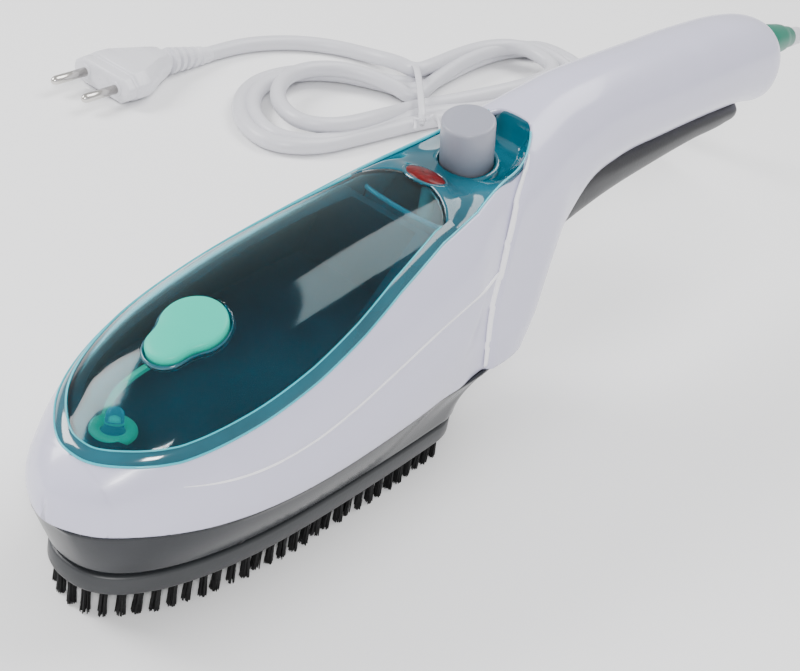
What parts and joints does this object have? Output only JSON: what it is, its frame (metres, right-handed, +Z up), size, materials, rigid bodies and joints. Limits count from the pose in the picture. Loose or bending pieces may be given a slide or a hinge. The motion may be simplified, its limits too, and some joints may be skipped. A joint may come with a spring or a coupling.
{
  "type": "handheld garment steamer",
  "caption": "Handheld steam brush with a clear tinted water tank, a pump button, a clip-on bristle brush and a tied mains cord with a two-pin plug.",
  "frame": {"origin": "middle of the steamer without its cord, on the plane of the bristle tips", "axes": "+X from the nose to the end of the handle, +Z up from the bristles to the tank, +Y across, towards the side the cord lies on"},
  "size_m": [0.4611, 0.2829, 0.112],
  "materials": {
    "white_shell": "moulded gloss",
    "aluminium": "die cast",
    "steel": "plated",
    "black_bristle": "nylon bristle",
    "frame_grey": "satin moulded",
    "green_rubber": "soft satin",
    "inner_white": "as moulded",
    "cord_white": "soft PVC sheath",
    "mint_rubber": "soft satin",
    "grip_grey": "satin moulded",
    "silicone": "silicone sleeve",
    "element_steel": "tubular element sheath",
    "clear_plastic": "clear gloss",
    "red_lens": "tinted gloss",
    "dark_housing": "moulded gloss",
    "plug_white": "moulded PVC",
    "pin_metal": "nickel plated brass",
    "button_grey": "satin moulded",
    "teal_clear": "tinted clear plastic, gloss",
    "tank_floor_grey": "moulded gloss"
  },
  "bodies": {
    "steamer": {"body_shell": "white_shell", "boiler_block": "aluminium", "boiler_screws": "steel", "cap_tether": "green_rubber", "cord_bushing": "green_rubber", "cord_clamp": "inner_white", "cord_hank": "cord_white", "cord_lead": "cord_white", "cord_tie": "cord_white", "grip_screws": "steel", "handle_grip": "grip_grey", "heat_shield": "steel", "heater_leads": "silicone", "heating_element": "element_steel", "housing_screws": "steel", "indicator_lamp": "clear_plastic", "indicator_lens": "red_lens", "inner_lead": "cord_white", "lower_housing": "dark_housing", "outlet_post": "clear_plastic", "plug_body": "plug_white", "plug_lead": "cord_white", "plug_pins": "pin_metal", "plug_relief": "plug_white", "pump_cover": "teal_clear", "pump_cylinder": "inner_white", "pump_spring": "steel", "soleplate": "aluminium", "steam_tube": "silicone", "suction_tube": "silicone", "tank_base": "tank_floor_grey", "tank_cover": "teal_clear", "terminal_block": "inner_white", "tether_ring": "green_rubber", "thermal_fuse": "steel", "thermostat": "steel"},
    "brush": {"brush_frame": "frame_grey", "bristle_tufts": "black_bristle"},
    "button": {"pump_button": "button_grey", "pump_plunger": "inner_white"},
    "cap": {"filler_cap": "mint_rubber"}
  },
  "joints": [
    {"name": "button_press", "type": "slide", "parent": "steamer", "child": "button", "axis": [0.2334, 0, -0.9724], "range_m": [0, 0.006], "stiffness_N_per_m": 350, "springref_m": -0.004},
    {"name": "cap_lift", "type": "slide", "parent": "steamer", "child": "cap", "axis": [-0.3256, 0, 0.9455], "range_m": [0, 0.02]},
    {"name": "brush_release", "type": "slide", "parent": "steamer", "child": "brush", "axis": [0, 0, -1], "range_m": [0, 0.03]}
  ]
}
